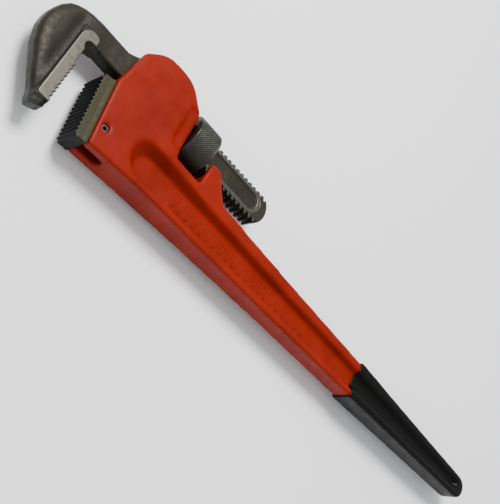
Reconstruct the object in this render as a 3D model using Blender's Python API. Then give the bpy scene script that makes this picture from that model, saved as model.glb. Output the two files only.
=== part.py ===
"""A heavy-duty pipe wrench of the 24 inch class, lying on its side.

The design is drawn in millimetres with its origin at the middle of the adjusting nut: +X runs along the
shank towards the end of the handle, +Y towards the wrench's back and +Z through its thickness. The empty
wrench_frame carries that origin to its place above the floor.
"""
import math

import bmesh
import bpy
from mathutils import Vector

MM = 0.001

# Screw thread of the shank and the nut (right-handed about +X).
PITCH = 5.8
CREST_RADIUS = 16.0
ROOT_RADIUS = 13.1
ROOT_SHARE = 0.36            # of a pitch, the flat bottom of the groove
FLANK_SHARE = 0.10           # of a pitch, each sloping flank
THREAD_CLEARANCE = 0.45      # between the nut's thread and the shank's, square to the surface
THREAD_SIDES = 36

# Adjusting nut.
NUT_RADIUS = 22.5
NUT_LENGTH = 25.4
NUT_CHAMFER = 1.6

# Housing and handle.
HOUSING_HALF = 15.0          # half the thickness of the housing
HOUSING_END = -11.0          # the face that the nut pushes on
HANDLE_AXIS_Y = -52.3
HANDLE_END = 460.0
HANDLE_HALF_WIDTH_END = 10.8
HANDLE_HALF_WIDTH_HEAD = 24.0
HANDLE_HEAD_X = 60.0
HANDLE_HALF_NECK = 12.5      # half the thickness of the handle beside the window
HANDLE_HALF_MIDDLE = 10.5
HANDLE_HALF_END = 9.5
WINDOW_FLOOR = -31.3
WINDOW_END = 19.9
LUG_TOP = -6.6
WEB_HALF = 4.0               # half the thickness of the web between the two recesses

# Outlines seen from the side. Each corner is its x, its y and its radius.
HOUSING_CORNERS = ((-82.0, 19.0, 2), (-65.0, 35.6, 28), (-33.0, 35.6, 26), (HOUSING_END, 15.0, 4))
WINDOW_CORNERS = ((HOUSING_END, WINDOW_FLOOR, 2), (WINDOW_END, WINDOW_FLOOR, 2))
LUG_CORNERS = ((21.4, LUG_TOP, 2.5), (32.6, LUG_TOP, 2.5), (51.0, -28.3, 8))
HANDLE_END_RADIUS = 9.5
HEEL_EDGE_CORNER = (-22.6, -78.9, 60)
NUT_STEP_CORNERS = ((-23.4, 17.0, 3), (-8.0, 17.0, 0), (-8.0, -25.5, 0), (-23.4, -25.5, 6))
NUT_STEP_DEPTH = 1.8

# The recess on each side of the handle: its floor ends in two half circles, each x, y and radius.
RECESS_HEAD = (-25.0, -57.0, 11.7)
RECESS_TAIL = (444.0, HANDLE_AXIS_Y, 4.6)
RIM_HEAD_SHIFT = -7.0        # where the rim's half circles stand, against the floor's
RIM_TAIL_SHIFT = 2.0
RIM_RISE = 1.6
RIM_WIDENING = 6.1

# The passage through the housing.
CHANNEL_FLOOR = -17.0
CHANNEL_CEILING = 16.6
CHANNEL_MOUTH = -95.0
SIDE_CLEARANCE = 0.7         # beside the shank, in the passage and in the lug's fork
FORK_END = 60.0
NOTCH_HEIGHT = 4.2           # of the room's notch for the leaf's hooked end

# Hook jaw, drawn with the jaw nearly shut.
TOOTH_FACE = -121.5          # the tips of the hook's teeth
PAD_HALF = 10.8              # half the thickness over the two ground pads beside the hook's teeth
HOOK_HALF = 9.4              # half the thickness of the rest of the hook's head
SHANK_HALF = 7.6             # half the thickness of its shank
THREAD_START = -70.0
SHANK_END = 95.0
SHANK_FRONT = -12.6          # the plain shank's edge towards the heel jaw
HOOK_FIRST_TOOTH = -37.5
HOOK_TOOTH_PITCH = 4.25
HOOK_TEETH = 10
HOOK_TOOTH_DEPTH = 2.2
HOOK_CORNERS = ((-154.8, 16.9, 34), (-161.4, -25.5, 38), (-133.0, -85.0, 5), (TOOTH_FACE, -84.2, 2))
PAD_CORNERS = ((-133.2, -79.5, 2), (TOOTH_FACE + 8, -79.5, 0), (TOOTH_FACE + 8, -22.0, 0),
               (-117.2, -15.0, 0), (-117.2, -4.0, 5), (-133.2, -4.0, 9))
RELIEF_RADIUS = 5.0          # of the hollow between the teeth and the shank
PANEL_HALF = 8.0
PANEL_Y = 0.9
PANEL_START = -76.0
PANEL_END = 82.4
PANEL_DEPTH = 1.4

# Heel jaw.
HEEL_LEAN = math.radians(8.0)
HEEL_HALF = 14.0             # half the width of the heel jaw's base, a narrow ledge
HEEL_TOOTH_HALF = 13.2       # half the width of its toothed part
HEEL_LEDGE = 3.2
HEEL_STAND = 12.6            # how far the teeth stand in front of the housing
HEEL_TOOTH_PITCH = 4.1
HEEL_TEETH = 14
HEEL_TOOTH_DEPTH = 1.9
FRONT_TOP = Vector((-88.9, -22.0))   # the top of the housing's front, where the heel jaw sits
FRONT_LENGTH = 61.4
HEEL_DROP = 1.3              # the heel jaw starts this far below the top of that front
HEEL_LENGTH = 60.9
TONGUE_CORNERS = ((-90, -76, 0), (-67, -76, 4), (-67, -36, 4), (-92, -36, 0))
TONGUE_HALF = 4.6
SLOT_HALF = 5.0              # the housing's slot for the tongue, which is longer than the tongue
SLOT_END = -57.0
HEEL_PIN_X = -75.1
HEEL_PIN_Y = -61.8
HEEL_PIN_RADIUS = 3.0
HEEL_PIN_BORE = 1.8
HEEL_PIN_HALF_LENGTH = 12.6

# Springs. The leaf lies along the shank's back edge, below the coil.
LEAF_BOTTOM = 16.4
LEAF_THICKNESS = 1.0
LEAF_START = -74.0
LEAF_END = -22.0
LEAF_HALF = 5.0
RIVET_RADIUS = 1.6
RIVET_COLLAR = 2.6
RIVET_STUD = 2.2
COIL_X = -47.0
COIL_RADIUS = 3.6
COIL_WIRE = 0.55
COIL_TURNS = 6
COIL_TOP = 30.0
POCKET_RADIUS = 4.9
ROCK_ANGLE = math.radians(3.2)   # room for the jaw to rock, a little more than it does
PIVOT_X = HOUSING_END
PIVOT_Y = -20.0

GAP = 0.3                    # between pieces that touch
GRIP_START = 265.0
GRIP_SKIN = 1.7

# Where the design's origin stands: the wrench's box is centred on the world's origin, on its floor.
HOOK_BACK = -160.0
GRIP_TIP = HANDLE_END + GRIP_SKIN
HOUSING_BACK = 35.6
HEEL_CORNER = -85.1
ORIGIN = Vector((-(HOOK_BACK + GRIP_TIP) / 2, -(HOUSING_BACK + HEEL_CORNER) / 2, NUT_RADIUS)) * MM


def clear_scene():
    for obj in list(bpy.data.objects):
        bpy.data.objects.remove(obj)


def material(name, colour, roughness, metallic):
    mat = bpy.data.materials.new(name)
    mat.use_nodes = True
    shader = mat.node_tree.nodes["Principled BSDF"]
    shader.inputs["Base Color"].default_value = (*colour, 1)
    shader.inputs["Roughness"].default_value = roughness
    shader.inputs["Metallic"].default_value = metallic
    mat.diffuse_color = (*colour, 1)
    return mat


def empty(name, location, parent=None):
    obj = bpy.data.objects.new(name, None)
    bpy.context.scene.collection.objects.link(obj)
    obj.location = location
    obj.parent = parent
    return obj


def solid(name, verts, faces):
    """An object from points in millimetres, with its faces turned outward."""
    mesh = bpy.data.meshes.new(name)
    mesh.from_pydata([Vector(v) * MM for v in verts], [], faces)
    work = bmesh.new()
    work.from_mesh(mesh)
    bmesh.ops.remove_doubles(work, verts=work.verts, dist=1e-7)
    bmesh.ops.recalc_face_normals(work, faces=work.faces)
    work.to_mesh(mesh)
    work.free()
    obj = bpy.data.objects.new(name, mesh)
    bpy.context.scene.collection.objects.link(obj)
    return obj


def place(obj, parent, mat, origin=(0, 0, 0)):
    """Puts a finished piece under its parent, drawn from that parent's own place."""
    obj.parent = parent
    obj.location = -Vector(origin) * MM
    obj.data.materials.append(mat)
    obj.data.shade_smooth()
    obj.data.set_sharp_from_angle(angle=math.radians(30))
    return obj


def loft(name, loops):
    """Skins equally long loops of points one after another and closes both ends."""
    count = len(loops[0])
    verts = [point for loop in loops for point in loop]
    faces = [tuple(range(count)), tuple(range(len(verts) - count, len(verts)))]
    for row in range(len(loops) - 1):
        for i in range(count):
            j = (i + 1) % count
            faces.append((row * count + i, row * count + j, (row + 1) * count + j, (row + 1) * count + i))
    return solid(name, verts, faces)


def prism_z(name, outline, low, high):
    return loft(name, [[(x, y, z) for x, y in outline] for z in (low, high)])


def prism_y(name, outline, low, high):
    return loft(name, [[(x, y, z) for x, z in outline] for y in (low, high)])


def turned(name, profile, sides, centre, axis):
    """A solid of revolution: profile holds (distance along the axis, radius) from end to end."""
    loops = []
    for along, radius in profile:
        loop = []
        for i in range(sides):
            angle = 2 * math.pi * i / sides
            ring = (radius * math.cos(angle), radius * math.sin(angle))
            offset = {"X": (along, *ring), "Y": (ring[1], along, ring[0]), "Z": (*ring, along)}[axis]
            loop.append(Vector(centre) + Vector(offset))
        loops.append(loop)
    return loft(name, loops)


def rounded(corners, steps=6):
    """An outline from (x, y, radius) corners, each turned by an arc of that radius."""
    points = []
    for i, (x, y, radius) in enumerate(corners):
        corner = Vector((x, y))
        before = (Vector(corners[i - 1][:2]) - corner).normalized()
        after = (Vector(corners[(i + 1) % len(corners)][:2]) - corner).normalized()
        if radius == 0:
            points.append((x, y))
            continue
        half = before.angle(after) / 2
        centre = corner + (before + after).normalized() * radius / math.sin(half)
        start = corner + before * radius / math.tan(half) - centre
        sweep = start.angle_signed(corner + after * radius / math.tan(half) - centre)
        for k in range(steps + 1):
            turn = -sweep * k / steps
            points.append((centre.x + start.x * math.cos(turn) - start.y * math.sin(turn),
                           centre.y + start.x * math.sin(turn) + start.y * math.cos(turn)))
    return points


def slot_outline(x_low, x_high, y, half, steps=8):
    """A slot along X with two round ends."""
    right = [(x_high - half + half * math.cos(a), y + half * math.sin(a)) for a in arc(-90, 90, steps)]
    left = [(x_low + half + half * math.cos(a), y + half * math.sin(a)) for a in arc(90, 270, steps)]
    return right + left


def arc(start, end, steps):
    return [math.radians(start + (end - start) * k / steps) for k in range(steps + 1)]


def combine(obj, other, operation):
    """Adds, cuts or keeps what both share, with the other solid kept only as a guide."""
    modifier = obj.modifiers.new(other.name, "BOOLEAN")
    modifier.operation = operation
    modifier.solver = "EXACT"
    modifier.object = other
    other.hide_render = True
    other.display_type = "WIRE"
    other.parent = obj


def cut(obj, *others):
    for other in others:
        combine(obj, other, "DIFFERENCE")


def mirrored(build):
    """The same guide on both sides of the wrench's middle plane."""
    return [build(side) for side in (1, -1)]


# The leaning front of the housing, which the casting and the heel jaw share.

def front_point(along, out):
    """A point along the housing's front from its top, and out from it towards the hook."""
    down = Vector((math.sin(HEEL_LEAN), -math.cos(HEEL_LEAN)))
    forward = Vector((-math.cos(HEEL_LEAN), -math.sin(HEEL_LEAN)))
    point = FRONT_TOP + down * along + forward * out
    return (point.x, point.y)


# The handle's outline and recess, which the casting and its grip share.

def handle_half_width(x):
    share = (HANDLE_END - x) / (HANDLE_END - HANDLE_HEAD_X)
    return HANDLE_HALF_WIDTH_END + (HANDLE_HALF_WIDTH_HEAD - HANDLE_HALF_WIDTH_END) * share


def handle_half_thickness(x):
    if x < 150:
        return HANDLE_HALF_NECK + (HANDLE_HALF_MIDDLE - HANDLE_HALF_NECK) * max(x - 40, 0) / 110
    return HANDLE_HALF_MIDDLE + (HANDLE_HALF_END - HANDLE_HALF_MIDDLE) * (x - 150) / (HANDLE_END - 150)


def thickness_envelope(name, grow=0.0):
    """The wrench seen from its edge: thick at the housing, thinner along the handle."""
    stations = (40, 150, HANDLE_END + 20)
    upper = [(-110, HOUSING_HALF + grow), (-14, HOUSING_HALF + grow)]
    upper += [(x, handle_half_thickness(x) + grow) for x in stations]
    lower = [(x, -z) for x, z in reversed(upper)]
    return prism_y(name, upper + lower, -100, 60)


def recess(name, side, grow=0.0):
    """One side's sloping-walled trough in the handle. A positive grow leaves a skin inside it.

    The rim is the floor's outline moved and widened by the same amount at both ends, so the walls are flat.
    """
    ends = ((RECESS_HEAD, RIM_HEAD_SHIFT, arc(90, 270, 8)), (RECESS_TAIL, RIM_TAIL_SHIFT, arc(-90, 90, 8)))
    floor, rim = [], []
    for (x, y, radius), shift, angles in ends:
        inner, outer = radius - grow, radius + RIM_WIDENING - grow
        for a in angles:
            floor.append((x + inner * math.cos(a), y + inner * math.sin(a), side * (WEB_HALF + grow)))
            rim.append((x + shift + outer * math.cos(a), y + RIM_RISE + outer * math.sin(a),
                        side * (HOUSING_HALF + 1 + grow)))
    return loft(name, [floor, rim])


# Handle casting.

def casting_outline():
    """The housing, the window behind it, the lug and the handle, in one outline seen from the side."""
    end_top = HANDLE_AXIS_Y + HANDLE_HALF_WIDTH_END
    end_bottom = HANDLE_AXIS_Y - HANDLE_HALF_WIDTH_END
    front = [(*front_point(FRONT_LENGTH, 0), 2), (*front_point(0, 0), 2)]
    end = [(HANDLE_END, end_top, HANDLE_END_RADIUS), (HANDLE_END, end_bottom, HANDLE_END_RADIUS)]
    return rounded([*front, *HOUSING_CORNERS, *WINDOW_CORNERS, *LUG_CORNERS, *end, HEEL_EDGE_CORNER])


def shank_channel():
    """The passage for the shank, tapered so that the jaw can rock towards the wrench's back."""
    rise = math.tan(ROCK_ANGLE) * (HOUSING_END - CHANNEL_MOUTH)
    outline = [(CHANNEL_MOUTH, CHANNEL_FLOOR), (HOUSING_END + 4, CHANNEL_FLOOR),
               (HOUSING_END + 4, CHANNEL_CEILING), (CHANNEL_MOUTH, CHANNEL_CEILING + rise)]
    half = SHANK_HALF + SIDE_CLEARANCE
    return prism_z("channel_cutter", outline, -half, half)


def spring_room():
    """The room for the leaf above the channel, with a notch for its hooked end."""
    low, top = CREST_RADIUS, LEAF_BOTTOM + LEAF_THICKNESS + 1.0
    rise = math.tan(ROCK_ANGLE) * (HOUSING_END - LEAF_START)
    front, back, notch = LEAF_START - 1.5, LEAF_END + 3.2, LEAF_END - 3.0
    outline = [(front, low), (back, low), (back, top + NOTCH_HEIGHT),
               (notch, top + NOTCH_HEIGHT), (notch, top), (front, top + rise)]
    return prism_z("spring_room_cutter", outline, -LEAF_HALF - 0.6, LEAF_HALF + 0.6)


def coil_pocket():
    profile = [(CREST_RADIUS + 1, POCKET_RADIUS), (COIL_TOP + GAP, POCKET_RADIUS)]
    return turned("coil_pocket_cutter", profile, 20, (COIL_X, 0, 0), "Y")


def lug_fork():
    """The slot between the lug's two ears, where the threaded shank runs."""
    floor = CHANNEL_FLOOR - math.tan(ROCK_ANGLE) * (FORK_END - PIVOT_X)
    outline = [(WINDOW_END - 2, floor), (FORK_END, floor), (FORK_END, 0), (WINDOW_END - 2, 0)]
    half = SHANK_HALF + SIDE_CLEARANCE
    return prism_z("fork_cutter", outline, -half, half)


def tongue_slot():
    """The slot for the heel jaw's tongue, open to the front and to the heel edge."""
    outline = slot_outline(-110, SLOT_END, 0, SLOT_HALF, 6)
    return prism_y("tongue_slot_cutter", outline, -95, -33)


def nut_step(side):
    """The shallow round-bottomed step in the housing's side beside the nut."""
    low, high = sorted((side * (HOUSING_HALF - NUT_STEP_DEPTH), side * (HOUSING_HALF + 3)))
    return prism_z(f"nut_step_cutter_{side}", rounded(NUT_STEP_CORNERS), low, high)


def handle_casting(parent, mat):
    body = prism_z("handle_casting", casting_outline(), -HOUSING_HALF - 1, HOUSING_HALF + 1)
    combine(body, thickness_envelope("casting_envelope"), "INTERSECT")
    cut(body, *mirrored(lambda side: recess(f"recess_cutter_{side}", side)))
    cut(body, *mirrored(nut_step))
    cut(body, shank_channel(), spring_room(), coil_pocket(), lug_fork(), tongue_slot())
    cut(body, turned("heel_pin_hole_cutter", [(-20, HEEL_PIN_RADIUS + GAP), (20, HEEL_PIN_RADIUS + GAP)],
                     20, (HEEL_PIN_X, HEEL_PIN_Y, 0), "Z"))
    return place(body, parent, mat)


def grip_shape(name, grow, start):
    """The handle's end, grown outward all round by the given amount."""
    half = handle_half_width(start) + grow
    end_half, end = HANDLE_HALF_WIDTH_END + grow, HANDLE_END + grow
    outline = rounded([(start, HANDLE_AXIS_Y - half, 0), (end, HANDLE_AXIS_Y - end_half, end_half - 1.2),
                       (end, HANDLE_AXIS_Y + end_half, end_half - 1.2), (start, HANDLE_AXIS_Y + half, 0)])
    shape = prism_z(name, outline, -HOUSING_HALF, HOUSING_HALF)
    combine(shape, thickness_envelope(name + "_envelope", grow), "INTERSECT")
    cut(shape, *mirrored(lambda side: recess(f"{name}_recess_{side}", side, grow)))
    return shape


def handle_grip(parent, mat):
    grip = grip_shape("handle_grip", GRIP_SKIN, GRIP_START)
    cut(grip, grip_shape("handle_grip_cutter", GAP, GRIP_START - 10))
    return place(grip, parent, mat)


# Screw thread.

def thread_points(grow):
    """One pitch of the thread's profile: (share of the pitch, radius), starting in the groove."""
    side = grow / PITCH
    half_root = ROOT_SHARE / 2 - side
    half_mouth = half_root + FLANK_SHARE
    root, crest = ROOT_RADIUS + grow, CREST_RADIUS + grow
    return [(-half_root, root), (half_root, root), (half_mouth, crest), (1 - half_mouth, crest)]


def screw(name, first_turn, last_turn, grow=0.0):
    """A threaded rod about X. Each row of points climbs one pitch in each turn."""
    profile = thread_points(grow)
    rows = [(turn + share, radius) for turn in range(first_turn, last_turn) for share, radius in profile]
    verts, faces = [], []
    for side in range(THREAD_SIDES):
        angle = 2 * math.pi * side / THREAD_SIDES
        for turns, radius in rows:
            along = (turns + side / THREAD_SIDES) * PITCH
            verts.append((along, radius * math.cos(angle), radius * math.sin(angle)))
    count, step = len(rows), len(profile)
    for side in range(THREAD_SIDES - 1):
        for row in range(count - 1):
            here = side * count + row
            faces.append((here, here + 1, here + count + 1, here + count))
    last = (THREAD_SIDES - 1) * count
    for row in range(count - 1 - step):
        faces.append((last + row, last + row + 1, row + step + 1, row + step))
    start_rim = [side * count for side in range(THREAD_SIDES)] + list(range(step, 0, -1))
    end_rim = [side * count + count - 1 for side in range(THREAD_SIDES)]
    end_rim += list(range(last + count - 2, last + count - 2 - step, -1))
    for rim, reach in ((start_rim, first_turn - 1), (end_rim, last_turn + 1)):
        centre = len(verts)
        verts.append((reach * PITCH, 0, 0))
        for i, corner in enumerate(rim):
            following = rim[(i + 1) % len(rim)]
            faces.append((corner, following, centre))
    return solid(name, verts, faces)


def adjusting_nut(parent, mat):
    start = HOUSING_END + 0.5
    end = start + NUT_LENGTH
    profile = [(start, NUT_RADIUS - NUT_CHAMFER), (start + NUT_CHAMFER, NUT_RADIUS),
               (end - NUT_CHAMFER, NUT_RADIUS), (end, NUT_RADIUS - NUT_CHAMFER)]
    nut = turned("adjusting_nut", profile, 48, (0, 0, 0), "X")
    cut(nut, screw("nut_thread_cutter", -5, 5, THREAD_CLEARANCE))
    return place(nut, parent, mat, (PIVOT_X, PIVOT_Y, 0))


# Hook jaw.

def hook_teeth():
    """Points down the hook's face: each tooth is steep on the side facing the shank."""
    points = []
    for tooth in range(HOOK_TEETH):
        y = HOOK_FIRST_TOOTH - tooth * HOOK_TOOTH_PITCH
        points.append((TOOTH_FACE - HOOK_TOOTH_DEPTH, y))
        points.append((TOOTH_FACE, y - 0.3 * HOOK_TOOTH_PITCH))
        points.append((TOOTH_FACE, y - 0.45 * HOOK_TOOTH_PITCH))
    return points


def hook_thickness():
    """What the hook is cut to: its forged thickness, thinner at the shank, and the pads beside its teeth."""
    edge = SHANK_HALF + 0.2
    upper = [(-170, HOOK_HALF), (TOOTH_FACE - 1, HOOK_HALF), (TOOTH_FACE + 14, edge), (0, edge)]
    envelope = prism_y("hook_envelope", upper + [(x, -z) for x, z in reversed(upper)], -100, 40)
    combine(envelope, prism_z("hook_pads", rounded(PAD_CORNERS), -PAD_HALF, PAD_HALF), "UNION")
    return envelope


def hook_head():
    """The head and the plain part of the shank."""
    relief_x, relief_y = TOOTH_FACE + 0.5, SHANK_FRONT - RELIEF_RADIUS
    relief = [(relief_x + RELIEF_RADIUS * math.cos(a), relief_y + RELIEF_RADIUS * math.sin(a))
              for a in arc(240, 90, 8)]
    joint = THREAD_START + 4
    back = rounded([(joint, CREST_RADIUS, 0), *HOOK_CORNERS])
    outline = back + list(reversed(hook_teeth())) + relief + [(joint, SHANK_FRONT)]
    head = prism_z("hook_jaw", outline, -PAD_HALF - 1, PAD_HALF + 1)
    combine(head, hook_thickness(), "INTERSECT")
    return head


def shank_blank():
    """The flat bar with a round end that the thread is cut on."""
    end = SHANK_END - CREST_RADIUS
    half = CREST_RADIUS + 1
    nose = [(end + CREST_RADIUS * math.cos(a), half * math.sin(a)) for a in arc(90, -90, 16)]
    outline = nose + [(THREAD_START, -half), (THREAD_START, half)]
    return prism_z("shank_blank", outline, -SHANK_HALF, SHANK_HALF)


def threaded_shank():
    first = math.floor(THREAD_START / PITCH) - 2
    last = math.ceil(SHANK_END / PITCH) + 2
    thread = screw("shank_thread", first, last)
    combine(thread, shank_blank(), "INTERSECT")
    return thread


def shank_panel(side):
    outline = slot_outline(PANEL_START, PANEL_END, PANEL_Y, PANEL_HALF)
    low, high = sorted((side * (SHANK_HALF - PANEL_DEPTH), side * (SHANK_HALF + 3)))
    return prism_z(f"panel_cutter_{side}", outline, low, high)


def hook_jaw(parent, mat):
    jaw = hook_head()
    combine(jaw, threaded_shank(), "UNION")
    cut(jaw, *mirrored(shank_panel))
    return place(jaw, parent, mat, (PIVOT_X, PIVOT_Y, 0))


# Heel jaw and its pin.

def heel_jaw(parent, mat):
    """A toothed block on the housing's front, with a tongue that the pin crosses."""
    root = HEEL_STAND - HEEL_TOOTH_DEPTH
    top, bottom = HEEL_DROP, HEEL_DROP + HEEL_LENGTH
    margin = (HEEL_LENGTH - HEEL_TEETH * HEEL_TOOTH_PITCH) / 2
    outline = [front_point(top, GAP + 1), front_point(top, root)]
    for tooth in range(HEEL_TEETH):
        start = top + margin + tooth * HEEL_TOOTH_PITCH
        outline.append(front_point(start, root))
        outline.append(front_point(start + 0.55 * HEEL_TOOTH_PITCH, HEEL_STAND))
        outline.append(front_point(start + 0.7 * HEEL_TOOTH_PITCH, HEEL_STAND))
    outline += [front_point(bottom - margin, root), front_point(bottom, root), front_point(bottom, GAP + 1)]
    jaw = prism_z("heel_jaw", outline, -HEEL_TOOTH_HALF, HEEL_TOOTH_HALF)
    base = [front_point(along, out) for along, out in
            ((top, GAP), (top, HEEL_LEDGE), (bottom, HEEL_LEDGE), (bottom, GAP))]
    combine(jaw, prism_z("heel_base", base, -HEEL_HALF, HEEL_HALF), "UNION")
    combine(jaw, prism_z("heel_tongue", rounded(TONGUE_CORNERS), -TONGUE_HALF, TONGUE_HALF), "UNION")
    hole = [(-20, HEEL_PIN_RADIUS + GAP), (20, HEEL_PIN_RADIUS + GAP)]
    cut(jaw, turned("tongue_hole_cutter", hole, 20, (HEEL_PIN_X, HEEL_PIN_Y, 0), "Z"))
    return place(jaw, parent, mat)


def heel_jaw_pin(parent, mat):
    """A rolled spring pin: a tube with a narrow slit down its whole length."""
    slit = math.degrees(0.6 / HEEL_PIN_RADIUS)
    outline = [(HEEL_PIN_X + radius * math.cos(a), HEEL_PIN_Y + radius * math.sin(a))
               for radius, angles in ((HEEL_PIN_RADIUS, arc(slit, 360 - slit, 20)),
                                      (HEEL_PIN_BORE, arc(360 - slit, slit, 20)))
               for a in angles]
    pin = prism_z("heel_jaw_pin", outline, -HEEL_PIN_HALF_LENGTH, HEEL_PIN_HALF_LENGTH)
    return place(pin, parent, mat)


# Springs.

def flat_spring(parent, mat):
    """A thin leaf with its handle end turned up and its front end lifted a little."""
    top = LEAF_BOTTOM + LEAF_THICKNESS
    outline = [(LEAF_START, LEAF_BOTTOM + 0.8), (LEAF_START + 6, LEAF_BOTTOM), (LEAF_END, LEAF_BOTTOM),
               (LEAF_END, top + 3), (LEAF_END - 1, top + 3), (LEAF_END - 1, top),
               (LEAF_START + 6, top), (LEAF_START, top + 0.8)]
    leaf = prism_z("flat_spring", outline, -LEAF_HALF, LEAF_HALF)
    hole = [(LEAF_BOTTOM - 2, RIVET_RADIUS + GAP), (top + 2, RIVET_RADIUS + GAP)]
    cut(leaf, turned("leaf_hole_cutter", hole, 16, (COIL_X, 0, 0), "Y"))
    return place(leaf, parent, mat, (PIVOT_X, PIVOT_Y, 0))


def spring_rivet(parent, mat):
    """Its stem fills the leaf's hole and its stud stands inside the coil."""
    top = LEAF_BOTTOM + LEAF_THICKNESS + GAP
    profile = [(LEAF_BOTTOM, RIVET_RADIUS), (top, RIVET_RADIUS), (top, RIVET_COLLAR),
               (top + 0.8, RIVET_COLLAR), (top + 0.8, RIVET_STUD), (top + 3.0, RIVET_STUD - 0.2)]
    rivet = turned("spring_rivet", profile, 16, (COIL_X, 0, 0), "Y")
    return place(rivet, parent, mat, (PIVOT_X, PIVOT_Y, 0))


def coil_spring(parent, mat):
    """A wire helix along Y between the leaf and the end of its pocket."""
    low = LEAF_BOTTOM + LEAF_THICKNESS + GAP + COIL_WIRE
    high = COIL_TOP - COIL_WIRE
    curve = bpy.data.curves.new("coil_spring", "CURVE")
    curve.dimensions = "3D"
    curve.bevel_depth = COIL_WIRE * MM
    curve.bevel_resolution = 1
    curve.use_fill_caps = True
    spline = curve.splines.new("POLY")
    steps = COIL_TURNS * 14
    spline.points.add(steps)
    for i, point in enumerate(spline.points):
        share = i / steps
        angle = 2 * math.pi * COIL_TURNS * share
        x = COIL_X + COIL_RADIUS * math.cos(angle)
        z = COIL_RADIUS * math.sin(angle)
        point.co = (x * MM, (low + (high - low) * share) * MM, z * MM, 1)
    spring = bpy.data.objects.new("coil_spring", curve)
    bpy.context.scene.collection.objects.link(spring)
    spring.parent = parent
    curve.materials.append(mat)
    return spring


def build():
    clear_scene()
    red = material("red_paint", (0.38, 0.037, 0.014), 0.45, 0.0)
    vinyl = material("black_vinyl", (0.012, 0.011, 0.010), 0.38, 0.0)
    forged = material("forged_steel", (0.085, 0.075, 0.058), 0.5, 0.7)
    oxide = material("black_oxide", (0.035, 0.036, 0.031), 0.42, 0.8)
    heel_steel = material("heel_steel", (0.16, 0.15, 0.11), 0.45, 0.8)
    pin_steel = material("pin_steel", (0.12, 0.12, 0.12), 0.4, 0.9)
    spring_steel = material("spring_steel", (0.3, 0.3, 0.32), 0.3, 1.0)

    frame = empty("wrench_frame", ORIGIN)
    handle_casting(frame, red)
    handle_grip(frame, vinyl)
    heel_jaw(frame, heel_steel)
    heel_jaw_pin(frame, pin_steel)
    coil_spring(frame, spring_steel)

    pivot = empty("rock_pivot", Vector((PIVOT_X, PIVOT_Y, 0)) * MM, frame)
    flat_spring(pivot, spring_steel)
    spring_rivet(pivot, pin_steel)
    adjusting_nut(pivot, oxide)
    hook_jaw(pivot, forged)


build()
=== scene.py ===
"""The look of a heavy-duty pipe wrench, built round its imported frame.

The visible pieces are fine meshes made from the frame's solids, with their edges rounded as a casting's, a
forging's or a dip's are. Sizes are in millimetres from the design's origin, the middle of the adjusting nut:
+X runs towards the end of the handle, +Y towards the wrench's back and +Z through its thickness.
"""
import math

import bpy
import numpy as np
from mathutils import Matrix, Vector
from mathutils.kdtree import KDTree


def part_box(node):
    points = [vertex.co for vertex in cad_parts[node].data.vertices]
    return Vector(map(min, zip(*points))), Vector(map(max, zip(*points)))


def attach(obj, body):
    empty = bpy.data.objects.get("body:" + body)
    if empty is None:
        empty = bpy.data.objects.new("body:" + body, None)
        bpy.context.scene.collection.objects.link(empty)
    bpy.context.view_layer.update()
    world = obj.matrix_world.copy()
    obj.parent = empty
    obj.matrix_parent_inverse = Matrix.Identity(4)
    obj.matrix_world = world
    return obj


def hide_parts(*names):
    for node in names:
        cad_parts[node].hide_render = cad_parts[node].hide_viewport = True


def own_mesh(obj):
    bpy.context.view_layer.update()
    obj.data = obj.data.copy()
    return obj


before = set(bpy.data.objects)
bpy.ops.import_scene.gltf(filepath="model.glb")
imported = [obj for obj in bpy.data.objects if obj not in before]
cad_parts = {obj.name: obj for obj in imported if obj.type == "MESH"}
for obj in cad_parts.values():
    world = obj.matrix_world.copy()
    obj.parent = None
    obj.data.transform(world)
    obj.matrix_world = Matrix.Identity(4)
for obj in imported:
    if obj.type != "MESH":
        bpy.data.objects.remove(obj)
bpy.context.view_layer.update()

MM = 0.001
INF = math.inf

# Where the design's origin is in the frame, from the nut's box.
NUT_START = -10.5            # the nut's face on the housing's side
NUT_LOW, NUT_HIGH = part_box("adjusting_nut")
ORIGIN = Vector((NUT_LOW.x - NUT_START * MM, (NUT_LOW.y + NUT_HIGH.y) / 2, (NUT_LOW.z + NUT_HIGH.z) / 2))

# Adjusting nut.
PITCH = 5.8
NUT_RADIUS = 22.5
NUT_LENGTH = (NUT_HIGH.x - NUT_LOW.x) / MM
NUT_CHAMFER = 1.5
NUT_SIDES = 480              # points round it
KNURL_ROWS = 84              # rings of points along its outside, and along its bore
BORE_ROWS = 46
KNURL_COUNT = 60             # diamonds round it
KNURL_DEPTH = 0.42
KNURL_SPAN = (1.0, 2.2)      # from the nut's ends, where the knurl starts and where it has its full depth
BORE_CREST = 16.45
BORE_ROOT = 13.55
RIDGE_SPAN = (0.36, 0.56)    # on the thread's zigzag, where the ridge starts and where it has its full height

# Handle.
CASTING_VOXEL = 0.9
GRIP_VOXEL = 0.6
TAIL_TAPER = 0.14            # how much narrower than the solids the handle's end is, from the grip's start on
GRIP_START = 265.0
HANDLE_END = 460.0
HANDLE_AXIS_Y = -52.3
PASSAGE = ((-92, -8), (-17.6, 31), (-9, 9))             # the shank's and the springs' room in the housing
OVER_LEAF = ((-77, -17), (17.2, 26), (-7.5, 7.5))       # the ceiling of the leaf spring's room
LEAF_ROOM_LOSS = 0.8         # what the remeshing takes from that room's height

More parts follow.
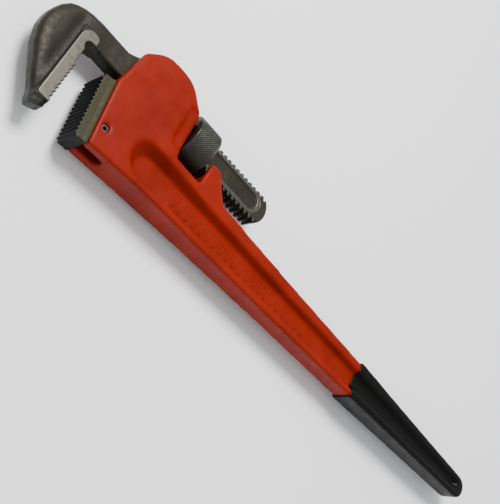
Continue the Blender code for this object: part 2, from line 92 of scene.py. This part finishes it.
# The row of slanted bars in the recess of the handle.
WEB_HALF = 4.0               # half the thickness of the web between the handle's two recesses
BAR_FIRST = 14.0
BAR_LAST = 192.0
BAR_STEP = 8.8
BAR_WIDTH = 3.4
BAR_LEAN = 2.0               # how far its ends lean out from its middle, along the handle
BAR_HEIGHT = 14.0            # of the first bar
BAR_HEIGHT_LOSS = 3.0        # how much lower the last bar is
BAR_LEVELS = ((-0.4, 0.0), (0.3, 0.3), (0.6, 0.8))      # (height over the recess's floor, how far drawn in)
RECESS_LINE = (-25, -56.5, 4.7 / 469)                   # a point on the recess's middle line, and its slope

# Hook jaw.
HOOK_VOXEL = 0.42
HOOK_HALF = 9.4              # half the hook's thickness, at its head, over its pads and at its shank
PAD_HALF = 10.8
SHANK_HALF = 7.6
PAD_BACK = -133.2            # the edge of the pads away from the teeth
TOOTH_FACE = -121.5
HEAD_END = -80               # the forged head is at lower X than this, and the shank at higher X

# Regions of the hook's head.
TEETH = ((TOOTH_FACE - 5.5, -113), (-INF, -31), (-INF, INF))
PAD_AND_EDGE = ((PAD_BACK - 1, -114), (-81, -2), (-INF, INF))
PAD_FACE = ((PAD_BACK - 0.6, -112), (-80.2, -3.4), (-INF, INF))
MOUTH_WALL = ((TOOTH_FACE - 8, INF), (-81, -24), (-INF, INF))
MIDDLE_SLICE = ((-INF, -84), (-INF, INF), (-0.5, 0.5))  # where its edge is measured

# The hook's forged shape. Each span is where something starts and where it is complete.
NARROWING = (-128, -106)     # where the rounding goes over from the head's to the shank's
ROUNDING_REACH = (10.0, 4.0)                            # how far in from the edge it starts, head and shank
ROUNDING_DEPTH = (0.55, 0.30)                           # what it takes off the thickness at the edge
VALLEY_DEPTH = 0.15          # of the shallow valley behind each pad, as a share of the thickness
VALLEY_LINE = PAD_BACK - 4.0
VALLEY_WIDTH = 5.0
VALLEY_ENDS = ((-84, -72), (8, -6))
FULLNESS = 5.0               # how far the head's back and tip stand out from the solid, and its crown is lower
BACK_SPANS = ((PAD_BACK, PAD_BACK - 18), (0, -45))      # each pair is on X and on Y
CROWN_SPANS = ((-82, -92), (2, 16))
TIP_SPANS = ((TOOTH_FACE - 1, TOOTH_FACE - 13), (-79, -84))

# Heel jaw.
HEEL_VOXEL = 0.32
HEEL_SIDE = (12.75, 13.0)    # where its dark steel goes over to its ground side
HEEL_LOWER_END = (-84.0, -81.0)

# Marks on the hook's surface, and where shade and a sheen are painted on it.
PAD_MARK = ((PAD_BACK - 1.0, -112.5), (-80.5, -3.0))
# painted shade: where the valley behind each pad is painted darker and browner
VALLEY_SHADE_PATCH = ((-145, PAD_BACK + 2), (-78, 0))
# painted sheen: where the tip, which faces down and away, is painted a lighter grey
TIP_SHEEN_FADE = (-86, -72)
MOUTH_MARK = (TOOTH_FACE - 4, -118.0)
MOUTH_TOP = (-35.5, -34.5)
PANEL_Y = 0.9                # the middle line of the shank's panel, and the middles of its two round ends
PANEL_ENDS = (-68.0, 74.4)
RIM_REACH = (7.9, 11.6)      # the milled rim's inner and outer edge, from the panel's middle line
THREAD_REACH = (11.8, 12.3)
THREAD_SPAN = (-69, 96)

# Stage.
FLOOR_HALF = 4.0
FLOOR_COLOUR = (0.92, 0.92, 0.92)
KEY_PLACE = Vector((-0.6, 0.66, 1.7))
KEY_TARGET = Vector((-0.05, 0, 0))
KEY_SIZE = 0.8
KEY_POWER = 62
SKY_COLOUR = (0.95, 0.97, 1.0)
SKY_STRENGTH = 0.8
CAMERA_PLACE = (-286.2, -459.0, 577.0)
CAMERA_TURN = (12.90, -42.45, 33.33)
CAMERA_LENS = 67.1
CAMERA_SENSOR = 36
CAMERA_SHIFT = (0.054, -0.094)


def design(x, y, z):
    """A place in the wrench's design, in the frame."""
    return ORIGIN + Vector((x, y, z)) * MM


def fade(value, start, end):
    """0 where value is at start or before it, 1 at end or past it, and in proportion between them."""
    return np.clip((value - start) / (end - start), 0, 1)


def inside(x, y, z, region):
    """True where a point is in a region, which is given as its low and high on each axis."""
    return np.logical_and.reduce([(low < value) & (value < high)
                                  for value, (low, high) in zip((x, y, z), region)])


# Meshes.

def new_object(name, data):
    obj = bpy.data.objects.new(name, data)
    bpy.context.scene.collection.objects.link(obj)
    return obj


def applied(obj):
    """Replaces an object's mesh by what its modifiers make of it."""
    bpy.context.view_layer.update()
    result = bpy.data.meshes.new_from_object(obj.evaluated_get(bpy.context.evaluated_depsgraph_get()))
    obj.modifiers.clear()
    obj.data = result
    return obj


def recast(name, node, voxel):
    """A copy of a CAD solid, remade of small even faces."""
    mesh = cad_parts[node].data.copy()
    mesh.materials.clear()
    obj = new_object(name, mesh)
    weld = obj.modifiers.new("weld", "WELD")
    weld.merge_threshold = 1e-5
    remesh = obj.modifiers.new("remesh", "REMESH")
    remesh.mode = "VOXEL"
    remesh.voxel_size = voxel * MM
    return applied(obj)


def places(mesh):
    """Its vertices in design millimetres."""
    flat = np.empty(len(mesh.vertices) * 3, np.float32)
    mesh.vertices.foreach_get("co", flat)
    return (flat.reshape(-1, 3).astype(float) - np.array(ORIGIN)) / MM


def put(mesh, points):
    """Moves its vertices to places in design millimetres."""
    mesh.vertices.foreach_set("co", (points * MM + np.array(ORIGIN)).astype(np.float32).ravel())
    mesh.update()


def everywhere(x, y, z):
    return np.ones(len(x))


def relax(obj, rounds, softness=everywhere):
    """Draws each vertex towards its neighbours' middle, which rounds the edges. Softness is from 0 to 1."""
    mesh = obj.data
    points = places(mesh)
    count = len(points)
    weight = softness(*points.T)
    edges = np.empty(len(mesh.edges) * 2, np.int32)
    mesh.edges.foreach_get("vertices", edges)
    first, second = edges.reshape(-1, 2).T
    degree = np.bincount(first, minlength=count) + np.bincount(second, minlength=count)
    for _ in range(rounds):
        for axis in range(3):
            values = points[:, axis]
            total = np.bincount(first, values[second], count) + np.bincount(second, values[first], count)
            points[:, axis] = values + 0.5 * weight * (total / degree - values)
    put(mesh, points)


def thin_out(obj, share):
    """Leaves that share of the faces, most of them where the surface bends."""
    decimate = obj.modifiers.new("decimate", "DECIMATE")
    decimate.ratio = share
    applied(obj)
    obj.data.shade_smooth()


def finish_piece(obj, material, body, slot, *nodes):
    """Gives a piece its material and its body, and hides the CAD solids it stands for. Its slot is not used.
    """
    obj.data.materials.clear()
    obj.data.materials.append(material)
    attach(obj, body)
    if nodes:
        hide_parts(*nodes)


# Materials. A Recipe adds nodes one at a time and hands back the socket that each one makes.

class Recipe:
    def __init__(self, name):
        self.material = bpy.data.materials.new(name)
        self.material.use_nodes = True
        self.tree = self.material.node_tree
        self.shader = self.tree.nodes["Principled BSDF"]
        coordinates = self.tree.nodes.new("ShaderNodeTexCoord").outputs["Object"]
        mapping = self.tree.nodes.new("ShaderNodeMapping")
        mapping.inputs["Scale"].default_value = (1 / MM,) * 3
        mapping.inputs["Location"].default_value = -ORIGIN / MM
        self.join(mapping.inputs["Vector"], coordinates)
        self.place = mapping.outputs["Vector"]
        split = self.tree.nodes.new("ShaderNodeSeparateXYZ")
        self.join(split.inputs[0], self.place)
        self.x, self.y, self.z = split.outputs

    def join(self, socket, value):
        """Sets a socket to a number or colour, or links it to another socket."""
        if isinstance(value, bpy.types.NodeSocket):
            self.tree.links.new(socket, value)
        else:
            socket.default_value = value

    def set(self, name, value):
        self.join(self.shader.inputs[name], value)

    def math(self, operation, first, second=0.0):
        node = self.tree.nodes.new("ShaderNodeMath")
        node.operation = operation
        self.join(node.inputs[0], first)
        self.join(node.inputs[1], second)
        return node.outputs[0]

    def product(self, first, second):
        return self.math("MULTIPLY", first, second)

    def length(self, first, second):
        """The length of the slanted line that goes that far along two axes."""
        squares = self.math("ADD", self.product(first, first), self.product(second, second))
        return self.math("SQRT", squares)

    def stretched(self, scale):
        """The place, squeezed or stretched along each axis."""
        node = self.tree.nodes.new("ShaderNodeVectorMath")
        node.operation = "MULTIPLY"
        self.join(node.inputs[0], self.place)
        node.inputs[1].default_value = scale
        return node.outputs[0]

    def noise(self, size, detail=3.0, roughness=0.55, scale=(1, 1, 1)):
        """Soft noise whose patches are about size millimetres across."""
        node = self.tree.nodes.new("ShaderNodeTexNoise")
        self.join(node.inputs["Vector"], self.stretched(scale))
        node.inputs["Scale"].default_value = 1 / size
        node.inputs["Detail"].default_value = detail
        node.inputs["Roughness"].default_value = roughness
        return node.outputs["Fac"]

    def ramp(self, value, low, high, start=0.0, end=1.0):
        """Value from low to high becomes start to end, held outside that."""
        node = self.tree.nodes.new("ShaderNodeMapRange")
        for name, number in (("From Min", low), ("From Max", high), ("To Min", start), ("To Max", end)):
            node.inputs[name].default_value = number
        self.join(node.inputs["Value"], value)
        return node.outputs[0]

    def uneven_roughness(self, size, start, end):
        self.set("Roughness", self.ramp(self.noise(size), 0.3, 0.7, start, end))

    def mix(self, share, first, second):
        """A colour between two, given as sockets or as (red, green, blue)."""
        node = self.tree.nodes.new("ShaderNodeMix")
        node.data_type = "RGBA"
        self.join(node.inputs["Factor"], share)
        for socket, colour in ((node.inputs["A"], first), (node.inputs["B"], second)):
            self.join(socket, (*colour, 1) if isinstance(colour, tuple) else colour)
        return node.outputs["Result"]

    def within(self, value, low, high, soft):
        """1 where value is between low and high, fading to 0 over soft millimetres on either side."""
        return self.product(self.ramp(value, low - soft, low + soft),
                            self.ramp(value, high - soft, high + soft, 1.0, 0.0))

    def patch(self, span_x, span_y, soft_x, soft_y):
        """1 in a rectangle of the wrench's side."""
        return self.product(self.within(self.x, *span_x, soft_x), self.within(self.y, *span_y, soft_y))

    def bump(self, *layers):
        """Each layer is (height socket, its full height in millimetres)."""
        total = None
        for height, depth in layers:
            part = self.product(height, depth * MM)
            total = part if total is None else self.math("ADD", total, part)
        node = self.tree.nodes.new("ShaderNodeBump")
        node.inputs["Distance"].default_value = 1.0
        self.join(node.inputs["Height"], total)
        self.set("Normal", node.outputs["Normal"])


def red_paint():
    """Thick satin enamel on a sand casting: an uneven surface, orange peel and slightly dusty patches."""
    paint = Recipe("red_paint")
    cloud = paint.noise(38)
    speck = paint.noise(1.6, 2)
    colour = paint.mix(paint.ramp(cloud, 0.35, 0.65), (0.156, 0.0062, 0.0010), (0.204, 0.0085, 0.0015))
    colour = paint.mix(paint.ramp(speck, 0.62, 0.75, 0, 0.5), colour, (0.127, 0.0052, 0.0010))
    paint.set("Base Color", colour)
    paint.set("Specular IOR Level", 0.10)
    paint.uneven_roughness(9, 0.34, 0.52)
    paint.bump((paint.noise(14, 2), 0.35), (paint.noise(2.4, 2), 0.10), (speck, 0.02))
    return paint.material


def black_vinyl():
    """A dipped sleeve: smooth, a little wavy, with dull scuffs."""
    vinyl = Recipe("black_vinyl")
    scuff = vinyl.noise(7, 4, 0.6, (0.4, 1, 1))
    colour = vinyl.mix(vinyl.ramp(scuff, 0.55, 0.8), (0.0022, 0.0020, 0.0015), (0.0055, 0.0050, 0.0040))
    vinyl.set("Base Color", colour)
    vinyl.set("Specular IOR Level", 0.11)
    vinyl.set("Roughness", vinyl.ramp(scuff, 0.4, 0.75, 0.30, 0.52))
    vinyl.bump((vinyl.noise(11, 2), 0.25), (vinyl.noise(0.9, 2), 0.012))
    return vinyl.material


def scale_and_painted_light(steel, pits):
    """Brown-grey forging scale, with painted shade, darker and browner, in the valley beside the pads, and a
    painted lighter grey sheen on the tip.
    """
    cloud = steel.ramp(steel.noise(24, 4), 0.32, 0.68)
    scale = steel.mix(cloud, (0.0120, 0.0100, 0.0058), (0.024, 0.0210, 0.0126))
    scale = steel.mix(steel.ramp(pits, 0.56, 0.74, 0, 0.5), scale, (0.010, 0.0080, 0.0052))
    # Painted shade: the valley behind each pad is painted darker and browner, where shade falls in it.
    valley_shade = steel.patch(*VALLEY_SHADE_PATCH, 4.0, 5.0)
    scale = steel.mix(steel.product(valley_shade, 0.5), scale, (0.0125, 0.0090, 0.0050))
    # Painted sheen: the tip is painted a lighter grey, standing in for the light its down-facing side catches.
    return steel.mix(steel.ramp(steel.y, *TIP_SHEEN_FADE, 0.75, 0.0), scale, (0.034, 0.034, 0.034))


def panel_reach(steel):
    """How far a place is from the middle line of the shank's panel."""
    across = steel.math("ABSOLUTE", steel.math("SUBTRACT", steel.y, PANEL_Y))
    start, end = PANEL_ENDS
    before, after = steel.math("SUBTRACT", start, steel.x), steel.math("SUBTRACT", steel.x, end)
    beyond = steel.math("MAXIMUM", steel.math("MAXIMUM", before, after), 0.0)
    return steel.length(across, beyond)


def forged_steel():
    """Forging scale, with ground pads beside the teeth and a milled rim round each panel."""
    steel = Recipe("forged_steel")
    depth = steel.math("ABSOLUTE", steel.z)
    pits = steel.noise(1.3, 4, 0.65)
    grain = steel.noise(0.5, 3, 0.6, (0.12, 1, 1))
    reach = panel_reach(steel)
    pad = steel.product(steel.ramp(depth, PAD_HALF - 0.75, PAD_HALF - 0.4), steel.patch(*PAD_MARK, 0.2, 0.2))
    face = steel.product(steel.within(steel.x, *MOUTH_MARK, 0.2), steel.ramp(steel.y, *MOUTH_TOP, 1, 0))
    face = steel.product(face, steel.ramp(depth, PAD_HALF - 0.7, PAD_HALF - 0.3, 1, 0))
    rim = steel.product(steel.within(reach, *RIM_REACH, 0.25),
                        steel.ramp(depth, SHANK_HALF - 0.7, SHANK_HALF - 0.35))
    thread = steel.product(steel.ramp(reach, *THREAD_REACH), steel.within(steel.x, *THREAD_SPAN, 0.6))

    ground = steel.mix(grain, (0.066, 0.062, 0.048), (0.140, 0.132, 0.108))
    milled = steel.mix(grain, (0.055, 0.052, 0.043), (0.11, 0.105, 0.09))
    turned = steel.mix(grain, (0.016, 0.0155, 0.013), (0.060, 0.057, 0.050))
    colour = steel.mix(face, scale_and_painted_light(steel, pits), (0.0065, 0.007, 0.007))
    colour = steel.mix(thread, colour, turned)
    colour = steel.mix(rim, colour, milled)
    steel.set("Base Color", steel.mix(pad, colour, ground))

    bare = steel.math("MAXIMUM", steel.math("MAXIMUM", pad, rim), steel.product(thread, 0.7))
    rough = steel.ramp(steel.noise(4), 0.3, 0.7, 0.42, 0.62)
    smooth = steel.ramp(bare, 0, 1, 1.0, 0.12)
    steel.set("Metallic", steel.ramp(bare, 0, 1, 0.40, 0.9))
    steel.set("Roughness", steel.math("SUBTRACT", rough, steel.product(bare, 0.10)))
    steel.set("Specular IOR Level", 0.25)
    steel.bump((steel.product(steel.noise(7), smooth), 0.50), (steel.product(pits, smooth), 0.08),
               (grain, 0.012))
    return steel.material


def black_oxide():
    """Dark blued steel, rubbed brighter on the knurl's points."""
    oxide = Recipe("black_oxide")
    radius = oxide.length(oxide.y, oxide.z)
    worn = oxide.product(oxide.ramp(radius, NUT_RADIUS - 0.35, NUT_RADIUS - 0.05),
                         oxide.ramp(oxide.noise(5), 0.3, 0.7))
    base = oxide.mix(oxide.noise(7, 4), (0.016, 0.0165, 0.013), (0.036, 0.036, 0.029))
    oxide.set("Base Color", oxide.mix(oxide.product(worn, 0.55), base, (0.105, 0.102, 0.086)))
    oxide.set("Metallic", 0.75)
    oxide.uneven_roughness(3, 0.34, 0.52)
    oxide.bump((oxide.noise(0.8), 0.03))
    return oxide.material


def heel_steel():
    """Ground on its sides, dark and hardened everywhere else."""
    steel = Recipe("heel_steel")
    side = steel.ramp(steel.math("ABSOLUTE", steel.z), *HEEL_SIDE)
    grain = steel.noise(0.45, 3, 0.6, (1, 0.12, 1))
    ground = steel.mix(grain, (0.023, 0.0218, 0.0124), (0.056, 0.053, 0.033))
    dark = steel.mix(steel.noise(5, 4), (0.0022, 0.0024, 0.0024), (0.0060, 0.0065, 0.0065))
    dark = steel.mix(steel.ramp(steel.y, *HEEL_LOWER_END, 1, 0), dark, (0.014, 0.0155, 0.015))
    steel.set("Base Color", steel.mix(side, dark, ground))
    steel.set("Metallic", steel.ramp(side, 0, 1, 0.0, 0.8))
    steel.set("Specular IOR Level", 0.05)
    steel.uneven_roughness(2.5, 0.40, 0.58)
    steel.bump((grain, 0.02), (steel.noise(1.0), 0.03))
    return steel.material


def drawn_steel(name, dark, light, grain_scale):
    """Plain bright or dark drawn steel, for the springs, the rivet and the rolled pin."""
    steel = Recipe(name)
    grain = steel.noise(0.5, 3, 0.6, grain_scale)
    steel.set("Base Color", steel.mix(grain, dark, light))
    steel.set("Metallic", 0.95)
    steel.uneven_roughness(2, 0.28, 0.45)
    steel.bump((grain, 0.01))
    return steel.material


# The handle and its grip.

def taper_tail(obj):
    """Narrows the handle inside the grip and the grip alike, more and more towards their end."""
    points = places(obj.data)
    share = 1 - TAIL_TAPER * fade(points[:, 0], GRIP_START, HANDLE_END)
    points[:, 1] = HANDLE_AXIS_Y + (points[:, 1] - HANDLE_AXIS_Y) * share
    points[:, 2] *= share
    put(obj.data, points)


def casting_softness(x, y, z):
    """The housing's inside keeps its sharp corners, and so its clearance."""
    return 1.0 - inside(x, y, z, PASSAGE)


def raise_ceiling(casting):
    """Gives the leaf spring's room its height back."""
    points = places(casting.data)
    points[inside(*points.T, OVER_LEAF), 1] += LEAF_ROOM_LOSS
    put(casting.data, points)


def handle_casting(paint):
    casting = recast("casting", "handle_casting", CASTING_VOXEL)
    relax(casting, rounds=14, softness=casting_softness)
    raise_ceiling(casting)
    taper_tail(casting)
    thin_out(casting, share=0.4)
    finish_piece(casting, paint, "handle", "red_paint", "handle_casting")


def handle_grip(vinyl):
    grip = recast("dipped_grip", "handle_grip", GRIP_VOXEL)
    relax(grip, rounds=55)
    taper_tail(grip)
    thin_out(grip, share=0.25)
    finish_piece(grip, vinyl, "handle", "black_vinyl", "handle_grip")


def relief_bar(x, side):
    """One slanted bar, narrower at its top, as rings of points from its foot in the floor upwards."""
    at_x, at_y, slope = RECESS_LINE
    middle = at_y + slope * (x - at_x)
    height = BAR_HEIGHT - BAR_HEIGHT_LOSS * (x - BAR_FIRST) / (BAR_LAST - BAR_FIRST)
    rings = []
    for level, drawn_in in BAR_LEVELS:
        half_width, half_height = BAR_WIDTH / 2 - drawn_in, height / 2 - drawn_in
        rings += [design(x + across * half_width + up * BAR_LEAN, middle + up * half_height,
                         side * (WEB_HALF + level))
                  for across, up in ((-1, -1), (1, -1), (1, 1), (-1, 1))]
    return rings


def relief_bar_faces(start, side):
    """The faces of a bar whose first point has that number, turned outwards on either side of the handle."""
    flip = slice(None, None, side)
    faces = []
    for ring in (0, 4):
        for i in range(4):
            j = (i + 1) % 4
            low, high = start + ring, start + ring + 4
            faces.append((low + i, low + j, high + j, high + i)[flip])
    faces.append(tuple(range(start + 8, start + 12))[flip])
    faces.append(tuple(range(start, start + 4))[::-1][flip])
    return faces


def recess_relief(paint):
    """A row of plain slanted bars, cast in the floor of the recess on each side."""
    verts, faces = [], []
    for side in (1, -1):
        for x in np.arange(BAR_FIRST, BAR_LAST, BAR_STEP):
            faces += relief_bar_faces(len(verts), side)
            verts += relief_bar(float(x), side)
    mesh = bpy.data.meshes.new("recess_relief")
    mesh.from_pydata(verts, [], faces)
    finish_piece(new_object("recess_relief", mesh), paint, "handle", "red_paint")


# The jaws.

def hook_softness(x, y, z):
    """The forging is soft all over, its ground pads and teeth are crisp, and so is the screw thread."""
    soft = np.where(x < HEAD_END, 1.0, 0.05)
    soft = np.where(inside(x, y, z, TEETH), 0.05, soft)
    near_pad = inside(x, y, z, PAD_AND_EDGE) & (np.abs(z) > HOOK_HALF - 0.5)
    return np.where(near_pad, 0.10, soft)


def edge_distance(points, chosen):
    """How far the chosen points are from the head's outer edge, seen from the wrench's side."""
    wall = inside(*points.T, MIDDLE_SLICE) & ~inside(*points.T, MOUTH_WALL)
    edge = KDTree(int(wall.sum()))
    for i, (x, y, _) in enumerate(points[wall]):
        edge.insert((x, y, 0), i)
    edge.balance()
    return np.array([edge.find((x, y, 0))[2] for x, y, _ in points[chosen]])


def bevel_share(distance, reach, depth):
    """How much of its thickness a piece keeps at a distance from its edge, when the edge is an ellipse's."""
    inward = fade(distance, reach, 0)
    return 1 - depth * (1 - np.sqrt(1 - inward ** 2))


def round_head(points):
    """Rounds the head's outer edges and presses a shallow valley behind each pad."""
    head = np.flatnonzero(points[:, 0] < HEAD_END)
    x, y, z = points[head].T
    to_shank = fade(x, *NARROWING)
    (head_reach, shank_reach), (head_depth, shank_depth) = ROUNDING_REACH, ROUNDING_DEPTH
    share = bevel_share(edge_distance(points, head), head_reach + (shank_reach - head_reach) * to_shank,
                        head_depth + (shank_depth - head_depth) * to_shank)
    lower_end, upper_end = VALLEY_ENDS
    along = fade(y, *lower_end) * fade(y, *upper_end)
    valley = VALLEY_DEPTH * along * np.exp(-((VALLEY_LINE - x) / VALLEY_WIDTH) ** 2)
    points[head, 2] *= np.where(inside(x, y, z, PAD_FACE), 1.0, share - valley)


def lean_out(points):
    """Makes the head fuller behind its pads and at its tip, and lowers its crown."""
    outward, downward, at_tip = [fade(points[:, 0], *span_x) * fade(points[:, 1], *span_y)
                                 for span_x, span_y in (BACK_SPANS, CROWN_SPANS, TIP_SPANS)]
    points[:, 0] -= FULLNESS * outward
    points[:, 1] -= FULLNESS * (downward + at_tip)


def hook_jaw(steel):
    hook = recast("forged_hook", "hook_jaw", HOOK_VOXEL)
    relax(hook, rounds=40, softness=hook_softness)
    points = places(hook.data)
    round_head(points)
    lean_out(points)
    put(hook.data, points)
    relax(hook, rounds=6, softness=hook_softness)
    thin_out(hook, share=0.4)
    finish_piece(hook, steel, "hook", "forged_steel", "hook_jaw")


def heel_jaw(steel):
    heel = recast("toothed_heel", "heel_jaw", HEEL_VOXEL)
    relax(heel, rounds=4)
    thin_out(heel, share=0.4)
    finish_piece(heel, steel, "handle", "heel_steel", "heel_jaw")


# The adjusting nut. Its angle, in turns, is an array with one number for each side.

def zigzag(value):
    """A triangle wave from 0 to 1 and back, once for each whole number."""
    return np.abs((value % 1.0) * 2 - 1)


def knurl_radius(along, turns):
    """The outside's radius: a diamond knurl between two chamfers."""
    edge = min(along, NUT_LENGTH - along)
    rise = along * KNURL_COUNT / (2 * math.pi * NUT_RADIUS)
    diamonds = np.minimum(zigzag(turns * KNURL_COUNT + rise), zigzag(turns * KNURL_COUNT - rise))
    cut = KNURL_DEPTH * (1 - diamonds) * fade(edge, *KNURL_SPAN)
    chamfer = NUT_CHAMFER - math.sqrt(NUT_CHAMFER ** 2 - max(NUT_CHAMFER - edge, 0) ** 2)
    return NUT_RADIUS - chamfer - cut


def bore_radius(along, turns):
    """The bore's radius, with the thread that fits the shank's."""
    ridge = fade(zigzag((NUT_START + along) / PITCH - turns), *RIDGE_SPAN)
    return BORE_CREST - (BORE_CREST - BORE_ROOT) * ridge


def adjusting_nut(oxide):
    """A ring, drawn as rings of points along its outside and back along its bore."""
    turns = np.arange(NUT_SIDES) / NUT_SIDES
    rows = [(along, knurl_radius(along, turns)) for along in np.linspace(0, NUT_LENGTH, KNURL_ROWS)]
    rows += [(along, bore_radius(along, turns)) for along in np.linspace(NUT_LENGTH, 0, BORE_ROWS)]
    points = np.empty((len(rows), NUT_SIDES, 3))
    for row, (along, radius) in enumerate(rows):
        points[row, :, 0] = NUT_START + along
        points[row, :, 1] = radius * np.cos(turns * 2 * math.pi)
        points[row, :, 2] = radius * np.sin(turns * 2 * math.pi)
    here = np.arange(len(rows) * NUT_SIDES).reshape(len(rows), NUT_SIDES)
    right = np.roll(here, -1, axis=1)
    faces = np.stack([here, np.roll(here, -1, axis=0), np.roll(right, -1, axis=0), right], axis=-1)
    mesh = bpy.data.meshes.new("knurled_nut")
    verts = points.reshape(-1, 3) * MM + np.array(ORIGIN)
    mesh.from_pydata(verts.tolist(), [], faces.reshape(-1, 4).tolist())
    mesh.shade_smooth()
    finish_piece(new_object("knurled_nut", mesh), oxide, "nut", "black_oxide", "adjusting_nut")


# Pieces that are right as they are.

def repaint(node, material):
    """Gives a CAD solid a better material."""
    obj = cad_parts[node]
    obj.data.materials.clear()
    obj.data.materials.append(material)


def springs_and_pin():
    """Gives the springs, the rivet and the pin their steels, and the coil a mesh of its own."""
    spring_steel = drawn_steel("spring_steel", (0.22, 0.22, 0.23), (0.42, 0.42, 0.43), (0.15, 1, 1))
    pin_steel = drawn_steel("pin_steel", (0.05, 0.05, 0.05), (0.14, 0.14, 0.14), (1, 1, 0.15))
    for node in ("coil_spring", "flat_spring"):
        repaint(node, spring_steel)
    for node in ("spring_rivet", "heel_jaw_pin"):
        repaint(node, pin_steel)
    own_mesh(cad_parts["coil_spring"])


# Stage.

def floor():
    mesh = bpy.data.meshes.new("floor")
    corners = [(x * FLOOR_HALF, y * FLOOR_HALF, 0) for x, y in ((-1, -1), (1, -1), (1, 1), (-1, 1))]
    mesh.from_pydata(corners, [], [(0, 1, 2, 3)])
    material = bpy.data.materials.new("pale_floor")
    material.use_nodes = True
    shader = material.node_tree.nodes["Principled BSDF"]
    shader.inputs["Base Color"].default_value = (*FLOOR_COLOUR, 1)
    shader.inputs["Roughness"].default_value = 0.9
    mesh.materials.append(material)
    new_object("floor", mesh)


def lights():
    """An even sky and one large soft key light."""
    world = bpy.data.worlds.new("studio")
    bpy.context.scene.world = world
    world.use_nodes = True
    background = world.node_tree.nodes["Background"]
    background.inputs["Color"].default_value = (*SKY_COLOUR, 1)
    background.inputs["Strength"].default_value = SKY_STRENGTH
    data = bpy.data.lights.new("key", "AREA")
    data.shape = "DISK"
    data.size = KEY_SIZE
    data.energy = KEY_POWER
    key = new_object("key", data)
    key.location = KEY_PLACE
    key.rotation_euler = (KEY_TARGET - KEY_PLACE).to_track_quat("-Z", "Y").to_euler()


def camera():
    """Over the head end of the wrench, looking down its length."""
    data = bpy.data.cameras.new("camera")
    data.sensor_width = CAMERA_SENSOR
    data.lens = CAMERA_LENS
    data.shift_x, data.shift_y = CAMERA_SHIFT
    obj = new_object("camera", data)
    obj.location = design(*CAMERA_PLACE)
    obj.rotation_euler = [math.radians(angle) for angle in CAMERA_TURN]
    bpy.context.scene.camera = obj


def build():
    paint = red_paint()
    handle_casting(paint)
    recess_relief(paint)
    handle_grip(black_vinyl())
    hook_jaw(forged_steel())
    adjusting_nut(black_oxide())
    heel_jaw(heel_steel())
    springs_and_pin()
    floor()
    lights()
    camera()


build()
